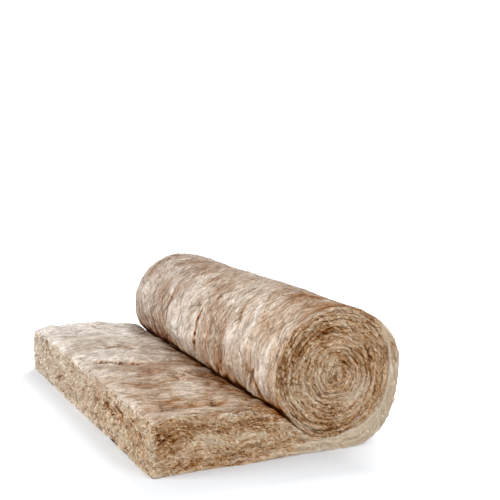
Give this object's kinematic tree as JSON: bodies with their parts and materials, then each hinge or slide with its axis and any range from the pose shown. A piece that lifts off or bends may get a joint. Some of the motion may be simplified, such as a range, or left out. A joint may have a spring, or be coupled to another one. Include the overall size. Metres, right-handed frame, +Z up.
{
  "type": "insulation roll",
  "caption": "Mineral wool insulation blanket wound into a tight roll lying on its side, with its free end unrolled flat on the floor and swollen to full thickness.",
  "frame": {"origin": "on the floor under the middle of the whole piece, at the bottom centre of its box", "axes": "+X along the blanket from the cut end of the free tail to the roll, +Y along the roll's axis (across the blanket), +Z up"},
  "size_m": [0.7661, 1.2, 0.4043],
  "materials": {
    "mineral_wool": "matte, pale beige-brown wool fibre with a lighter fleecy skin and darker brown seams"
  },
  "bodies": {
    "root": {"wool_blanket": "mineral_wool"}
  },
  "joints": []
}
